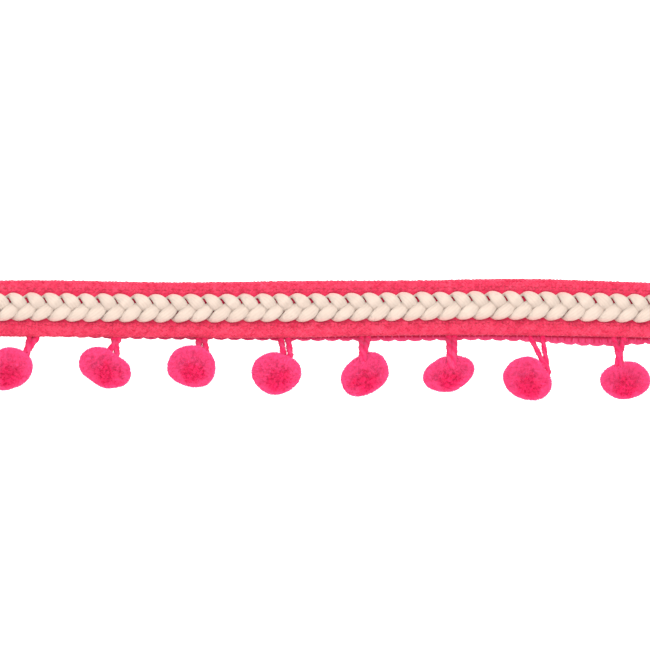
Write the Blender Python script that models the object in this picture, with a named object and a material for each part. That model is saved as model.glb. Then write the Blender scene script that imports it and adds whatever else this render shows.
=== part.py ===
"""Pompom fringe trim: a 200 mm cut length lying flat on its back.

A knitted tape carries a flat three-strand plait sewn along its middle. Behind the tape lies a scalloped
heading, and eight yarn pompoms hang from it, each on a loop of two threads.

X runs along the trim and Y across it, with the pompoms towards -Y. Z is up, and the trim lies on Z = 0.
The origin is on the heading's underside, at the middle of the tape's width and of the trim's length.
"""

import math
import random

import bmesh
import bpy
from mathutils import Vector
from mathutils.bvhtree import BVHTree

MM = 0.001
TRIM_LENGTH = 200.0 * MM
CLEARANCE = 0.33 * MM  # air between pieces that touch on the real trim

# The heading: a thin strip behind the tape, with small scallops along its lower edge.
HEADING_THICKNESS = 1.1 * MM
HEADING_TOP_EDGE = 6.2 * MM
SCALLOP_PITCH = 3.9 * MM
SCALLOP_DEPTH = 0.35 * MM
STATIONS_PER_SCALLOP = 3

# The tape: its lower edge is a soft roll, its middle is flat under the plait.
TAPE_WIDTH = 15.7 * MM
TAPE_BOTTOM = HEADING_THICKNESS + CLEARANCE + 0.07 * MM
TAPE_FLAT_HEIGHT = 1.1 * MM
TAPE_STATION_SPACING = 5.0 * MM
TAPE_EDGE_WOBBLE = 0.12 * MM

# The plait: each strand weaves from side to side once in three lobes.
LOBE_PITCH = 4.956 * MM
PLAIT_PERIOD = 3 * LOBE_PITCH
PLAIT_CENTRE = 0.75 * MM
PLAIT_START = -1.64 * MM
PLAIT_SWING = 2.87 * MM
PLAIT_RISE = 1.087 * MM
PLAIT_SNAP = 0.2 * MM  # makes a strand dive under its neighbour sooner after it has crossed over
PLAIT_HALF_HEIGHT = 1.73 * MM
STRAND_WIDTH = 2.8 * MM
STRAND_THICKNESS = 1.28 * MM
STRAND_SWELL = 0.2  # a strand is wider where it lies on top
STRAND_SWELL_LAG = 0.25
STRAND_ROLL = 0.26
STRAND_ROLL_LEAD = 1.65
STRAND_SIDES = 6
STEPS_PER_PERIOD = 12
STRAND_COUNT = 3

# The loops' threads, and the pompoms.
THREAD_RADIUS = 0.55 * MM
THREAD_ROOT_Y = -6.6 * MM
THREAD_ROOT_Z = 0.6 * MM
THREAD_EXIT_Y = -8.5 * MM
THREAD_END_GAP = 0.45 * MM
THREAD_ARCH = 0.8 * MM
THREAD_STEPS = 8
POMPOM_SEGMENTS = 20
POMPOM_RINGS = 12
POMPOM_FULLNESS = 0.88  # under 1 makes the ball's sides squarer than a sphere's
FLAT_SPOT = 0.93  # the ball is flat below this share of its half height
LUMP_DEPTH = 0.035
CLEFT_DEPTH = 0.13
CLEFT_ANGLE = math.radians(28)

# How far the whole trim strays sideways along its length, in millimetres: (along, sideways).
SWAY = ((-100, 0.2), (-80, 0.15), (-49, -0.2), (-7, -0.05), (24, 0.3), (50, 0.6), (75, 0.05), (100, -0.6))

# How far the heading's lower edge lies below the tape's, in millimetres: (along, drop).
HEADING_DROP = (
    (-100, -0.6), (-75, -0.3), (-50, 0.15), (-30, 0.3), (-10, 0.6), (10, 0.8), (35, 0.95), (52, 1.25), (62, 1.6),
    (76, 2.15), (90, 1.3), (100, 1.1),
)

# The tape's section, in millimetres from its middle and above its underside: (across, height).
TAPE_SECTION = (
    (7.45, 0.0), (7.85, 0.4), (7.45, 0.95), (6.2, 1.1), (-4.1, 1.1), (-4.7, 1.05),
    (-5.3, 1.4), (-6.4, 1.65), (-7.45, 1.3), (-7.85, 0.6), (-7.35, 0.0),
)

# The pompoms, in millimetres and degrees. radius is the mean one seen from above. oval, pear and square
# are how far the outline swells by twos, threes and fours, and each turn says where its first swell points.
POMPOM_COLUMNS = (
    "x", "y", "radius", "height", "oval", "oval_turn", "pear", "pear_turn", "square", "square_turn",
)
POMPOMS = (
    (-88.1, -16.5, 6.3, 11.6, 0.7, 33, 0.15, -7, 0.15, 39),
    (-61.5, -16.4, 6.3, 11.0, 1.3, -25, 0.1, -29, 0.25, -17),
    (-37.1, -15.9, 6.35, 12.0, 0.45, -4, 0.25, -51, 0.1, 41),
    (-13.6, -17.85, 6.4, 12.0, 0.5, 5, 0.1, 20, 0.05, -4),
    (11.1, -18.3, 6.2, 11.4, 0.9, 37, 0.15, -36, 0.1, -29),
    (34.6, -18.0, 5.8, 10.4, 1.3, 16, 0.05, 38, 0.3, 16),
    (56.7, -19.5, 6.4, 12.0, 0.6, -22, 0.15, -47, 0.15, -13),
    (83.9, -19.9, 5.95, 10.6, 0.9, 2, 0.0, 25, 0.2, -3),
)

# Where each pompom's threads enter it: the way from the ball's middle, as a turn about Z and a rise, degrees.
CLEFT_COLUMNS = ("turn", "rise")
CLEFTS = ((42, 10), (53, 5), (55, 5), (58, 12), (98, 42), (86, 52), (22, 25), (108, 30))

# The threads, two for each pompom: the place along the heading where a thread starts, a point that it
# passes on its way (along, across, height), and where it ends on the ball (turn, rise).
THREAD_COLUMNS = ("pompom", "root_x", "via_x", "via_y", "via_z", "end_turn", "end_rise")
THREADS = (
    (1, -83.3, -84.3, -10.2, 4.4, 48, 12),
    (1, -80.9, -82.9, -10.2, 5.2, 37, 6),
    (2, -57.7, -59.9, -9.9, 3.2, 62, 4),
    (2, -59.2, -58.1, -9.9, 4.4, 44, 6),
    (3, -35.7, -35.4, -9.4, 3.0, 66, 4),
    (3, -33.4, -33.2, -10.0, 4.6, 44, 8),
    (4, -12.6, -12.0, -10.4, 3.8, 68, 12),
    (4, -10.2, -9.8, -10.6, 4.4, 49, 12),
    (5, 10.4, 10.2, -10.6, 5.8, 104, 40),
    (5, 12.4, 11.2, -10.8, 6.8, 92, 44),
    (6, 34.5, 34.8, -10.6, 5.6, 96, 50),
    (6, 36.3, 36.5, -10.8, 5.8, 76, 52),
    (7, 57.8, 59.4, -11.2, 4.6, 30, 28),
    (7, 60.6, 61.8, -11.4, 4.2, 16, 22),
    (8, 81.2, 81.7, -12.4, 5.0, 116, 28),
    (8, 83.4, 82.8, -12.4, 5.4, 101, 32),
)


def clear_scene():
    for item in list(bpy.data.objects):
        bpy.data.objects.remove(item, do_unlink=True)


def new_collection(name):
    collection = bpy.data.collections.new(name)
    bpy.context.scene.collection.children.link(collection)
    return collection


def new_material(name, colour, roughness):
    material = bpy.data.materials.new(name)
    material.use_nodes = True
    shader = material.node_tree.nodes["Principled BSDF"]
    shader.inputs["Base Color"].default_value = (*colour, 1.0)
    shader.inputs["Roughness"].default_value = roughness
    shader.inputs["Metallic"].default_value = 0.0
    return material


def smooth_through(rows, x):
    """Value at x of the smooth curve through (x, value) rows, held level past its first and last row."""
    if x <= rows[0][0]:
        return rows[0][1]
    if x >= rows[-1][0]:
        return rows[-1][1]
    row = max(k for k in range(len(rows) - 1) if rows[k][0] <= x)
    before, after = rows[max(row - 1, 0)], rows[min(row + 2, len(rows) - 1)]
    here, there = rows[row], rows[row + 1]
    span = there[0] - here[0]
    slope_here = (there[1] - before[1]) / (there[0] - before[0]) * span
    slope_there = (after[1] - here[1]) / (after[0] - here[0]) * span
    t = (x - here[0]) / span
    rise = there[1] - here[1]
    return here[1] + t * (slope_here + t * (3 * rise - 2 * slope_here - slope_there
                                            + t * (slope_here + slope_there - 2 * rise)))


def sway(x):
    return smooth_through(SWAY, x / MM) * MM


def evenly(start, end, count):
    return [start + (end - start) * k / count for k in range(count + 1)]


def loft(name, rings):
    """Closed mesh through a row of rings that have one point count, with a cap at each end."""
    shape = bmesh.new()
    loops = [[shape.verts.new(point) for point in ring] for ring in rings]
    for near, far in zip(loops, loops[1:]):
        for k, corner in enumerate(near):
            following = (k + 1) % len(near)
            shape.faces.new((corner, near[following], far[following], far[k]))
    shape.faces.new(loops[0])
    shape.faces.new(loops[-1])
    bmesh.ops.recalc_face_normals(shape, faces=shape.faces)
    mesh = bpy.data.meshes.new(name)
    shape.to_mesh(mesh)
    shape.free()
    return mesh


def cut_to_length(mesh):
    """The mesh cut straight across at the trim's two ends, and closed there."""
    shape = bmesh.new()
    shape.from_mesh(mesh)
    for end in (-1, 1):
        everything = shape.verts[:] + shape.edges[:] + shape.faces[:]
        cut = bmesh.ops.bisect_plane(
            shape, geom=everything, clear_outer=True,
            plane_co=(end * TRIM_LENGTH / 2, 0, 0), plane_no=(end, 0, 0),
        )
        rim = [item for item in cut["geom_cut"] if isinstance(item, bmesh.types.BMEdge)]
        bmesh.ops.contextual_create(shape, geom=rim)
    shape.to_mesh(mesh)
    shape.free()
    return mesh


def place(name, mesh, material, collection, sharp_angle=math.radians(40)):
    mesh.shade_smooth()
    mesh.set_sharp_from_angle(angle=sharp_angle)
    mesh.materials.append(material)
    item = bpy.data.objects.new(name, mesh)
    collection.objects.link(item)
    return item


def tape_mesh():
    """The tape's section swept along the trim, its two edges wandering a little."""
    rings = []
    for x in evenly(-TRIM_LENGTH / 2, TRIM_LENGTH / 2, round(TRIM_LENGTH / TAPE_STATION_SPACING)):
        ring = []
        for across, height in TAPE_SECTION:
            wobble = TAPE_EDGE_WOBBLE * math.sin(x / (11 * MM) + (2.0 if across > 0 else 0.0))
            y = across * MM + wobble * abs(across * MM) / (TAPE_WIDTH / 2)
            ring.append((x, y + sway(x), TAPE_BOTTOM + height * MM))
        rings.append(ring)
    return loft("band", rings)


def heading_mesh():
    """The flat strip behind the tape, with a scalloped lower edge."""
    rings = []
    count = STATIONS_PER_SCALLOP * round(TRIM_LENGTH / SCALLOP_PITCH)
    for x in evenly(-TRIM_LENGTH / 2, TRIM_LENGTH / 2, count):
        drop = smooth_through(HEADING_DROP, x / MM) * MM
        scallop = SCALLOP_DEPTH * abs(math.sin(math.pi * x / SCALLOP_PITCH))
        edge = -TAPE_WIDTH / 2 - drop - scallop
        outline = (
            (HEADING_TOP_EDGE, 0.0),
            (HEADING_TOP_EDGE, HEADING_THICKNESS),
            (edge + 0.6 * MM, HEADING_THICKNESS),
            (edge, 0.5 * HEADING_THICKNESS),
            (edge + 0.4 * MM, 0.0),
        )
        rings.append([(x, y + sway(x), z) for y, z in outline])
    return loft("heading", rings)


def strand_mesh(name, phase):
    """One strand of the plait, with its section rolled, and swollen where the strand lies on top."""
    wave = 2 * math.pi / PLAIT_PERIOD
    middle = TAPE_BOTTOM + TAPE_FLAT_HEIGHT + CLEARANCE + PLAIT_HALF_HEIGHT

    def centre(x):
        turn = (x - PLAIT_START) * wave + phase
        rise = -PLAIT_RISE * math.sin(2 * turn) - PLAIT_SNAP * math.sin(4 * turn)
        return Vector((x, PLAIT_CENTRE + PLAIT_SWING * math.sin(turn), middle + rise))

    reach = TRIM_LENGTH / 2 + STRAND_WIDTH
    step = 0.001 * MM
    rings = []
    stride = PLAIT_PERIOD / STEPS_PER_PERIOD
    first, last = math.floor((-reach - PLAIT_START) / stride), math.ceil((reach - PLAIT_START) / stride)
    for x in [PLAIT_START + (k + 0.5) * stride for k in range(first, last + 1)]:
        turn = (x - PLAIT_START) * wave + phase
        along = (centre(x + step) - centre(x - step)).normalized()
        side = Vector((-along.y, along.x, 0)).normalized()
        up = along.cross(side)
        roll = STRAND_ROLL * math.sin(turn + STRAND_ROLL_LEAD)
        side, up = side * math.cos(roll) + up * math.sin(roll), up * math.cos(roll) - side * math.sin(roll)
        half_width = 0.5 * STRAND_WIDTH * (1 - STRAND_SWELL * math.sin(2 * turn - STRAND_SWELL_LAG))
        half_thickness = 0.5 * STRAND_THICKNESS
        middle_point = centre(x) + Vector((0, sway(x), 0))
        ring = []
        for k in range(STRAND_SIDES):
            angle = 2 * math.pi * k / STRAND_SIDES
            across = side * half_width * math.cos(angle)
            ring.append(middle_point + across + up * half_thickness * math.sin(angle))
        rings.append(ring)
    return cut_to_length(loft(name, rings))


def direction(turn, rise):
    """Unit vector turned about Z from +X and raised from level, in degrees."""
    turn, rise = math.radians(turn), math.radians(rise)
    return Vector((math.cos(turn) * math.cos(rise), math.sin(turn) * math.cos(rise), math.sin(rise)))


def pompom_mesh(name, row, cleft, seed):
    """A felted ball: its outline swollen by twos, threes and fours, lumpy, cleft and flat where it rests."""
    rng = random.Random(seed)
    lumps = [(direction(rng.uniform(0, 360), rng.uniform(-60, 80)), rng.uniform(-1, 1)) for _ in range(14)]
    entry = direction(cleft["turn"], cleft["rise"])
    half_height = 0.5 * row["height"] * MM
    ball = bmesh.new()
    bmesh.ops.create_uvsphere(ball, u_segments=POMPOM_SEGMENTS, v_segments=POMPOM_RINGS, radius=1.0)
    for vert in ball.verts:
        way = vert.co.normalized()
        turn = math.atan2(way.y, way.x)
        radius = row["radius"]
        for swells, swell in ((2, "oval"), (3, "pear"), (4, "square")):
            radius += row[swell] * math.cos(swells * (turn - math.radians(row[swell + "_turn"])))
        level = math.hypot(way.x, way.y) ** POMPOM_FULLNESS
        height = math.copysign(abs(way.z) ** POMPOM_FULLNESS, way.z)
        relief = 1.0 + sum(LUMP_DEPTH * size * math.exp(-6 * (1 - way.dot(peak))) for peak, size in lumps)
        relief -= CLEFT_DEPTH * math.exp(-(way.angle(entry) / CLEFT_ANGLE) ** 2)
        vert.co = Vector((
            row["x"] * MM + radius * MM * level * math.cos(turn) * relief,
            row["y"] * MM + radius * MM * level * math.sin(turn) * relief,
            max(half_height * (FLAT_SPOT + height * relief), 0.0),
        ))
    bmesh.ops.recalc_face_normals(ball, faces=ball.faces)
    mesh = bpy.data.meshes.new(name)
    ball.to_mesh(mesh)
    ball.free()
    return mesh


def surface_point(tree, middle, turn, rise, gap):
    """The point at a gap outside a pompom's surface, in the direction of a turn and a rise from its middle."""
    way = direction(turn, rise)
    hit = tree.ray_cast(middle + way * 0.05, -way)[0]
    return hit + way * gap


def pushed_clear(point, tree, gap):
    """The point, moved straight away from a pompom's surface until it is a gap outside it."""
    for _ in range(6):
        near, normal, _, distance = tree.find_nearest(point)
        outside = (point - near).dot(normal) > 0
        if outside and distance >= gap:
            return point
        point = near + normal * gap * 1.02
    return point


def bezier(points, t):
    """Point at t on the Bezier curve that the points control."""
    while len(points) > 1:
        points = [a.lerp(b, t) for a, b in zip(points, points[1:])]
    return points[0]


def thread_object(name, row, pompom, tree, guides):
    """A loop's thread: out of the heading, past its own point, and up to the pompom's cleft."""
    middle = Vector((pompom["x"], pompom["y"], 0.5 * pompom["height"])) * MM
    beside = THREAD_RADIUS + CLEARANCE
    root_x = row["root_x"] * MM
    shift = Vector((0, sway(root_x), 0))
    root = Vector((root_x, THREAD_ROOT_Y, THREAD_ROOT_Z)) + shift
    leaving = Vector((root_x, THREAD_EXIT_Y, THREAD_ROOT_Z)) + shift
    via = Vector((row["via_x"], row["via_y"], row["via_z"])) * MM
    end = surface_point(tree, middle, row["end_turn"], row["end_rise"], THREAD_END_GAP)
    turning = surface_point(tree, middle, row["end_turn"], row["end_rise"], beside + THREAD_RADIUS)
    over = turning + Vector((0, 0, THREAD_ARCH))
    bend = [bezier([leaving, via, over, turning], t) for t in evenly(0.0, 1.0, THREAD_STEPS)]
    sweep = [pushed_clear(point, tree, beside) for point in bend]
    route = [root, *sweep, end]

    curve = bpy.data.curves.new(name, "CURVE")
    curve.dimensions = "3D"
    curve.bevel_depth = THREAD_RADIUS
    curve.bevel_resolution = 0
    curve.use_fill_caps = True
    spline = curve.splines.new("POLY")
    spline.points.add(len(route) - 1)
    for knot, point in zip(spline.points, route):
        knot.co = (*point, 1.0)
    tube = bpy.data.objects.new(name, curve)
    guides.objects.link(tube)
    return as_cutter(tube, guides)


def as_cutter(tube, guides):
    """A closed mesh object in the place of a curve object, hidden from the finished trim."""
    depsgraph = bpy.context.evaluated_depsgraph_get()
    mesh = bpy.data.meshes.new_from_object(tube.evaluated_get(depsgraph))
    shape = bmesh.new()
    shape.from_mesh(mesh)
    bmesh.ops.remove_doubles(shape, verts=shape.verts, dist=0.001 * MM)
    bmesh.ops.recalc_face_normals(shape, faces=shape.faces)
    shape.to_mesh(mesh)
    shape.free()
    cutter = bpy.data.objects.new(tube.name + "_shape", mesh)
    cutter.matrix_world = tube.matrix_world
    cutter.hide_render = True
    cutter.display_type = "WIRE"
    guides.objects.link(cutter)
    bpy.data.objects.remove(tube, do_unlink=True)
    return cutter


def main():
    clear_scene()
    trim = new_collection("Pompom fringe trim")
    guides = new_collection("Thread guides")

    pink = new_material("pink tape", (0.83, 0.055, 0.13), 0.85)
    cream = new_material("cream cord", (0.86, 0.68, 0.56), 0.8)
    magenta = new_material("magenta heading yarn", (0.8, 0.05, 0.16), 0.9)
    felt = new_material("magenta pompom yarn", (0.86, 0.05, 0.18), 0.95)

    place("band", tape_mesh(), pink, trim)
    for number in range(STRAND_COUNT):
        name = f"braid_strand_{number + 1}"
        place(name, strand_mesh(name, number * 2 * math.pi / STRAND_COUNT), cream, trim)

    heading = place("heading", heading_mesh(), magenta, trim)
    pompoms = [dict(zip(POMPOM_COLUMNS, values)) for values in POMPOMS]
    trees = []
    for number, (pompom, cleft) in enumerate(zip(pompoms, CLEFTS), start=1):
        name = f"pompom_{number}"
        ball = place(name, pompom_mesh(name, pompom, dict(zip(CLEFT_COLUMNS, cleft)), number), felt, trim)
        corners = [vert.co.copy() for vert in ball.data.vertices]
        trees.append(BVHTree.FromPolygons(corners, [tuple(face.vertices) for face in ball.data.polygons]))

    for number, values in enumerate(THREADS, start=1):
        row = dict(zip(THREAD_COLUMNS, values))
        own = row["pompom"] - 1
        thread = thread_object(f"thread_{number}", row, pompoms[own], trees[own], guides)
        fuse = heading.modifiers.new(f"fuse {thread.name}", "BOOLEAN")
        fuse.operation = "UNION"
        fuse.solver = "EXACT"
        fuse.object = thread


if __name__ == "__main__":
    main()
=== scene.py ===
"""Looks of a pompom fringe trim: knitted tape, plait, scalloped heading, twisted loops, felted pompoms.

X runs along the trim, Y across it with the pompoms towards -Y, and Z is up. The trim lies on Z = 0.
"""

from math import copysign, cos, floor as round_down, pi, radians, sin
from random import Random

import bmesh
import bpy
from bpy.props import FloatProperty, FloatVectorProperty, IntProperty, PointerProperty
from bpy.types import Operator, Panel, PropertyGroup
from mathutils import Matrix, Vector, noise
from mathutils.bvhtree import BVHTree


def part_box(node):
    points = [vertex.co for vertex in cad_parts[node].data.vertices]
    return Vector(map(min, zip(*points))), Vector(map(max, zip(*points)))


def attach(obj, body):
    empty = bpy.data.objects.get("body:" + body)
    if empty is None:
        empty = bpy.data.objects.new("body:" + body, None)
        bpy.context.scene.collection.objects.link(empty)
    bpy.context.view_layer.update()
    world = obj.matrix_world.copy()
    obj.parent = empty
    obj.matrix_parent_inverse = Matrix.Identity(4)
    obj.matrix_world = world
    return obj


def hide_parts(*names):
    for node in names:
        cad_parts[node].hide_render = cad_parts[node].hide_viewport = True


bl_info = {
    "name": "Pompom fringe trim",
    "version": (1, 0, 0),
    "blender": (4, 5, 0),
    "location": "View3D > Sidebar > Trim",
    "description": "Builds a length of pompom fringe trim piece by piece",
    "category": "Object",
}

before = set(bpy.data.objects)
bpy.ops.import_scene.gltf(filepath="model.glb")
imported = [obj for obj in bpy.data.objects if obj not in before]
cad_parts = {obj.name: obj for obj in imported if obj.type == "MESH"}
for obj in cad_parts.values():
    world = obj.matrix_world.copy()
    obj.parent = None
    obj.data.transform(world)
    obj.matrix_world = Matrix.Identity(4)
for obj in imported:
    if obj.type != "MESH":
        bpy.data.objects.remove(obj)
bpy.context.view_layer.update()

MM = 0.001
UP = Vector((0, 0, 1))
DOWN = Vector((0, 0, -1))
BAND_LOW, BAND_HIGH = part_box("band")
TRIM_START = BAND_LOW[0]
TRIM_END = BAND_HIGH[0]
TRIM_LENGTH = TRIM_END - TRIM_START

# The heading's and the tape's sections, as the solids have them.
HEADING_THICKNESS = 1.1 * MM
HEADING_TOP_EDGE = 6.2 * MM
SCALLOP_PITCH = 3.9 * MM
SCALLOP_DEPTH = 0.35 * MM
TAPE_WIDTH = 15.7 * MM
TAPE_BOTTOM = BAND_LOW[2]
TAPE_EDGE_WOBBLE = 0.12 * MM
TAPE_SECTION = (
    (7.45, 0.0), (7.85, 0.4), (7.45, 0.95), (6.2, 1.1), (-4.1, 1.1), (-4.7, 1.05),
    (-5.3, 1.4), (-6.4, 1.65), (-7.45, 1.3), (-7.85, 0.6), (-7.35, 0.0),
)
TAPE_FLAT_HEIGHT = 1.1 * MM
TAPE_FLAT_TOP = TAPE_BOTTOM + TAPE_FLAT_HEIGHT

# The heading's cloth: the depth of its scallops, and its distance from the tape's underside.
CLOTH_SCALLOP = 0.45 * MM
CLOTH_CLEARANCE = 0.02 * MM

# How many stretches each long piece has along the trim.
TAPE_STEPS = 280
HEADING_STEPS = 640
EDGE_YARN_STEPS = 1100
STRAND_STEPS = 440

# Where the knit shows, as (from, to) across the tape, and the lines of sewing, as (across, height, share
# of the sewing pitch), in millimetres.
KNIT_ZONES = ((7.9, 4.0), (-2.9, -7.9))
KNIT_SLANT = radians(30)
SEWING_LINES = ((-4.55, 1.18, 1.0), (5.55, 1.22, 1.15))
SEWING_THREAD = (0.34 * MM, 0.5 * MM)

# A stitch leg is a pointed lens: its rings as (place along it, share of its width).
LENS_RINGS = ((0.18, 0.72), (0.5, 1.0), (0.82, 0.72))
LENS_DEPTH = 0.38

# How far the trim strays sideways along its length, in millimetres: (along, sideways).
SWAY = ((-100, 0.2), (-80, 0.15), (-49, -0.2), (-7, -0.05), (24, 0.3), (50, 0.6), (75, 0.05), (100, -0.6))

# How far the heading's lower edge lies below the tape's, in millimetres: (along, drop).
HEADING_DROP = (
    (-100, -0.6), (-75, -0.35), (-50, 0.0), (-30, 0.15), (-10, 0.55), (10, 0.8), (22, 1.05), (35, 0.95),
    (52, 1.25), (62, 1.6), (76, 2.15), (90, 1.3), (100, 1.1),
)

# The plait: three strands on one path, each a third of a period behind the next.
LOBE_PITCH = 4.956 * MM
PLAIT_PERIOD = 3 * LOBE_PITCH
PLAIT_CENTRE = 0.43 * MM
PLAIT_START = -2.56 * MM
PLAIT_SWING = 3.14 * MM
PLAIT_SKEW = 0.27
PLAIT_POINT = -0.01
PLAIT_LEAN = 0.2
PLAIT_MIDDLE = TAPE_FLAT_TOP + 1.5 * MM
PLAIT_RISE = 1.2 * MM
STRAND_COUNT = 3

# A strand's width, in millimetres, at every 30 degrees of half a period: drawn to a neck where it dives out
# of sight under the lobe before, and full where it comes back over the middle.
STRAND_WIDTHS = (3.25, 1.15, 0.7, 2.05, 3.15, 3.65)
NECK_WIDTH = 2.4 * MM
RIDGE_HEIGHT = 0.02 * MM
# How much painted shade darkens the creases between a strand's ridges.
CREASE_SHADE = 0.22
# How far off the plait's middle the painted pink reflection of the tape begins and over what distance it
# grows, in millimetres.
REFLECTION_START = 2.9
REFLECTION_RUN = 1.2
# A strand is made this much too long at each end, and then cut.
STRAND_OVERRUN = 2 * MM
# Towards the cut ends the strands keep at least this width, so that each ends as a whole cord.
PLAIT_END_START = 93 * MM
PLAIT_END_RUN = 3 * MM
PLAIT_END_WIDTH = 2.5
# Each strand is cut this much shorter than the one before, so that no two cut faces share a plane.
CUT_STEP = 0.04 * MM

# The hanging loops, a row for each pompom: whether its two threads lie over the ball or go in at its side,
# their share of the usual width, and then for each thread, in millimetres, where it starts along the
# heading, where it bends (along, across) and where it ends on the ball (along, across).
LOOPS = (
    ("side", 1.0, ((-82.7, -83.1, -10.4, -83.6, -12.4), (-80.9, -82.3, -10.4, -83.2, -12.4))),
    ("side", 1.0, ((-57.8, -59.2, -10.0, -60.2, -11.8), (-59.0, -58.5, -10.0, -58.1, -12.6))),
    ("side", 1.0, ((-35.4, -35.3, -10.0, -35.2, -11.8), (-33.8, -33.5, -10.0, -33.1, -12.0))),
    ("side", 1.0, ((-12.3, -12.0, -10.4, -11.6, -12.6), (-10.3, -10.0, -10.4, -9.7, -13.0))),
    ("over", 1.0, ((10.3, 10.2, -11.4, 10.4, -14.6), (12.0, 11.2, -11.4, 10.9, -14.6))),
    ("over", 1.0, ((34.6, 34.7, -11.0, 34.7, -16.5), (36.2, 36.1, -11.0, 35.8, -16.5))),
    ("over", 0.84, ((57.5, 59.4, -11.8, 61.3, -16.0), (60.9, 61.4, -11.8, 62.4, -17.9))),
    ("over", 1.0, ((80.9, 81.9, -12.4, 81.6, -16.0), (83.6, 82.4, -12.4, 82.6, -16.0))),
)
THREAD_ROOT_Y = -6.6 * MM
THREAD_ROOT_Z = 0.62 * MM
THREAD_EXIT_Y = -8.5 * MM
# How far past its last place, in millimetres, a thread goes on into the ball.
SINK_FROM_TOP = 1.5
SINK_FROM_SIDE = 2.6
PLY_SHARE = 0.78
PLY_TURN = 7.0 * MM
PLY_LEAD = 1.3
PLY_SIDES = 9

# A pompom's place where the pile parts, which painted shade darkens, faces this way, and its fibres stay
# above the floor by this much.
PIT_WAY = Vector((0.05, -0.42, 0.9))
PILE_CLEARANCE = 0.03 * MM
TUFT_SCALE = 1100.0
STRAY = 0.42

# The lamps: name, place, diameter in metres and power in watts.
LAMPS = (("key", (-0.12, 0.3, 1.0), 0.6, 9.7), ("fill", (0.3, -0.3, 1.0), 0.7, 6.2))
WORLD_STRENGTH = 0.9


# ---------------- settings


def length_setting(name, description, millimetres):
    size = millimetres * MM
    return FloatProperty(name=name, description=description, default=size, unit="LENGTH", precision=5)


def colour_setting(name, description, colour):
    kind = {"size": 3, "subtype": "COLOR", "min": 0, "max": 1}
    return FloatVectorProperty(name=name, description=description, default=colour, **kind)


class TapeSettings(PropertyGroup):
    colour: colour_setting("Colour", "Colour of the tape's yarn", (0.62, 0.027, 0.084))
    shade: colour_setting("Shade", "Colour of the yarn in its hollows", (0.42, 0.003, 0.03))
    stitch_length: length_setting("Stitch length", "Length of a stitch leg", 1.3)
    stitch_width: length_setting("Stitch width", "Width of a stitch leg", 0.66)
    stitch_pitch: length_setting("Stitch pitch", "Distance between legs along the tape", 0.94)
    row_pitch: length_setting("Row pitch", "Distance between rows of legs", 0.47)
    sewing_pitch: length_setting("Sewing pitch", "Distance between sewing stitches", 1.85)


class HeadingSettings(PropertyGroup):
    colour: colour_setting("Colour", "Colour of the heading's yarn", (0.5, 0.028, 0.112))
    shade: colour_setting("Shade", "Colour of the yarn in its hollows", (0.34, 0.0, 0.03))
    yarn: length_setting("Yarn", "Diameter of the edge's yarn", 0.62)
    rib_pitch: length_setting("Rib pitch", "Distance between cross ribs", 1.95)


class PlaitSettings(PropertyGroup):
    colour: colour_setting("Colour", "Colour of the plaited cord", (0.63, 0.52, 0.44))
    shade: colour_setting("Shade", "Colour of the cord in its creases", (0.46, 0.3, 0.23))
    # The colour of the painted reflection that the pink tape casts on the plait's outer parts.
    tape_reflection: colour_setting("Glow", "Colour that the tape lends the plait's edges", (0.85, 0.34, 0.32))
    thickness: length_setting("Strand thickness", "Thickness of a strand", 2.0)
    ridges: IntProperty(name="Ridges", description="Fine ridges round a strand", default=13, min=3)


class PompomSettings(PropertyGroup):
    colour: colour_setting("Colour", "Colour of the fibres' tips", (0.98, 0.092, 0.288))
    shade: colour_setting("Shade", "Colour of the pile's dark specks", (0.6, 0.0, 0.06))
    # The colour of the painted shade where the pile parts.
    depth: colour_setting("Depth", "Colour of the pile where it parts", (0.84, 0.008, 0.12))
    pile: length_setting("Pile", "How far the fibres stand out of the core", 1.0)
    fibre: length_setting("Fibre", "Thickness of a fibre at its root", 0.24)
    fibres: IntProperty(name="Fibres", description="Fibres on one pompom", default=15500, min=100)
    thread: length_setting("Thread", "Diameter of a loop's twisted thread", 1.95)


class StageSettings(PropertyGroup):
    view_width: length_setting("View width", "Width of the floor that the camera shows", 182.0)
    view_centre: length_setting("View centre", "Where the view's middle lies across the trim", -4.48)
    camera_height: length_setting("Camera height", "Height of the camera above the floor", 2000.0)


# ---------------- materials and node trees


def arithmetic(operation):
    """A method that adds a Math node for the wire and one other value."""
    return lambda wire, other: wire.maths(operation, wire, other)


class Wire:
    """An output socket in a node tree. Arithmetic on it adds Math nodes to the tree."""

    def __init__(self, tree, socket):
        self.tree = tree
        self.socket = socket

    def maths(self, operation, *values):
        return self.tree.node("ShaderNodeMath", dict(enumerate(values)), operation=operation)

    __add__ = __radd__ = arithmetic("ADD")
    __mul__ = __rmul__ = arithmetic("MULTIPLY")
    __sub__ = arithmetic("SUBTRACT")

    def __rsub__(self, other):
        return self.maths("SUBTRACT", other, self)

    def between(self, low, high):
        """0 where the value is at or under low, 1 at or over high."""
        values = {"Value": self, "From Min": low, "From Max": high}
        return self.tree.node("ShaderNodeMapRange", values, interpolation_type="SMOOTHSTEP")


class NodeTree:
    """A node tree. Its method node adds one, with its sockets' values or links and its settings."""

    def __init__(self, tree):
        self.tree = tree

    def node(self, kind, values=None, output=0, **settings):
        made = self.tree.nodes.new(kind)
        for name, value in settings.items():
            setattr(made, name, value)
        for name, value in (values or {}).items():
            if isinstance(value, Wire):
                self.tree.links.new(value.socket, made.inputs[name])
            else:
                made.inputs[name].default_value = value
        return Wire(self, made.outputs[output])

    def clouds(self, vector, scale, detail=2.0, roughness=0.5, output=0):
        values = {"Vector": vector, "Scale": scale, "Detail": detail, "Roughness": roughness}
        return self.node("ShaderNodeTexNoise", values, output)


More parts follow.
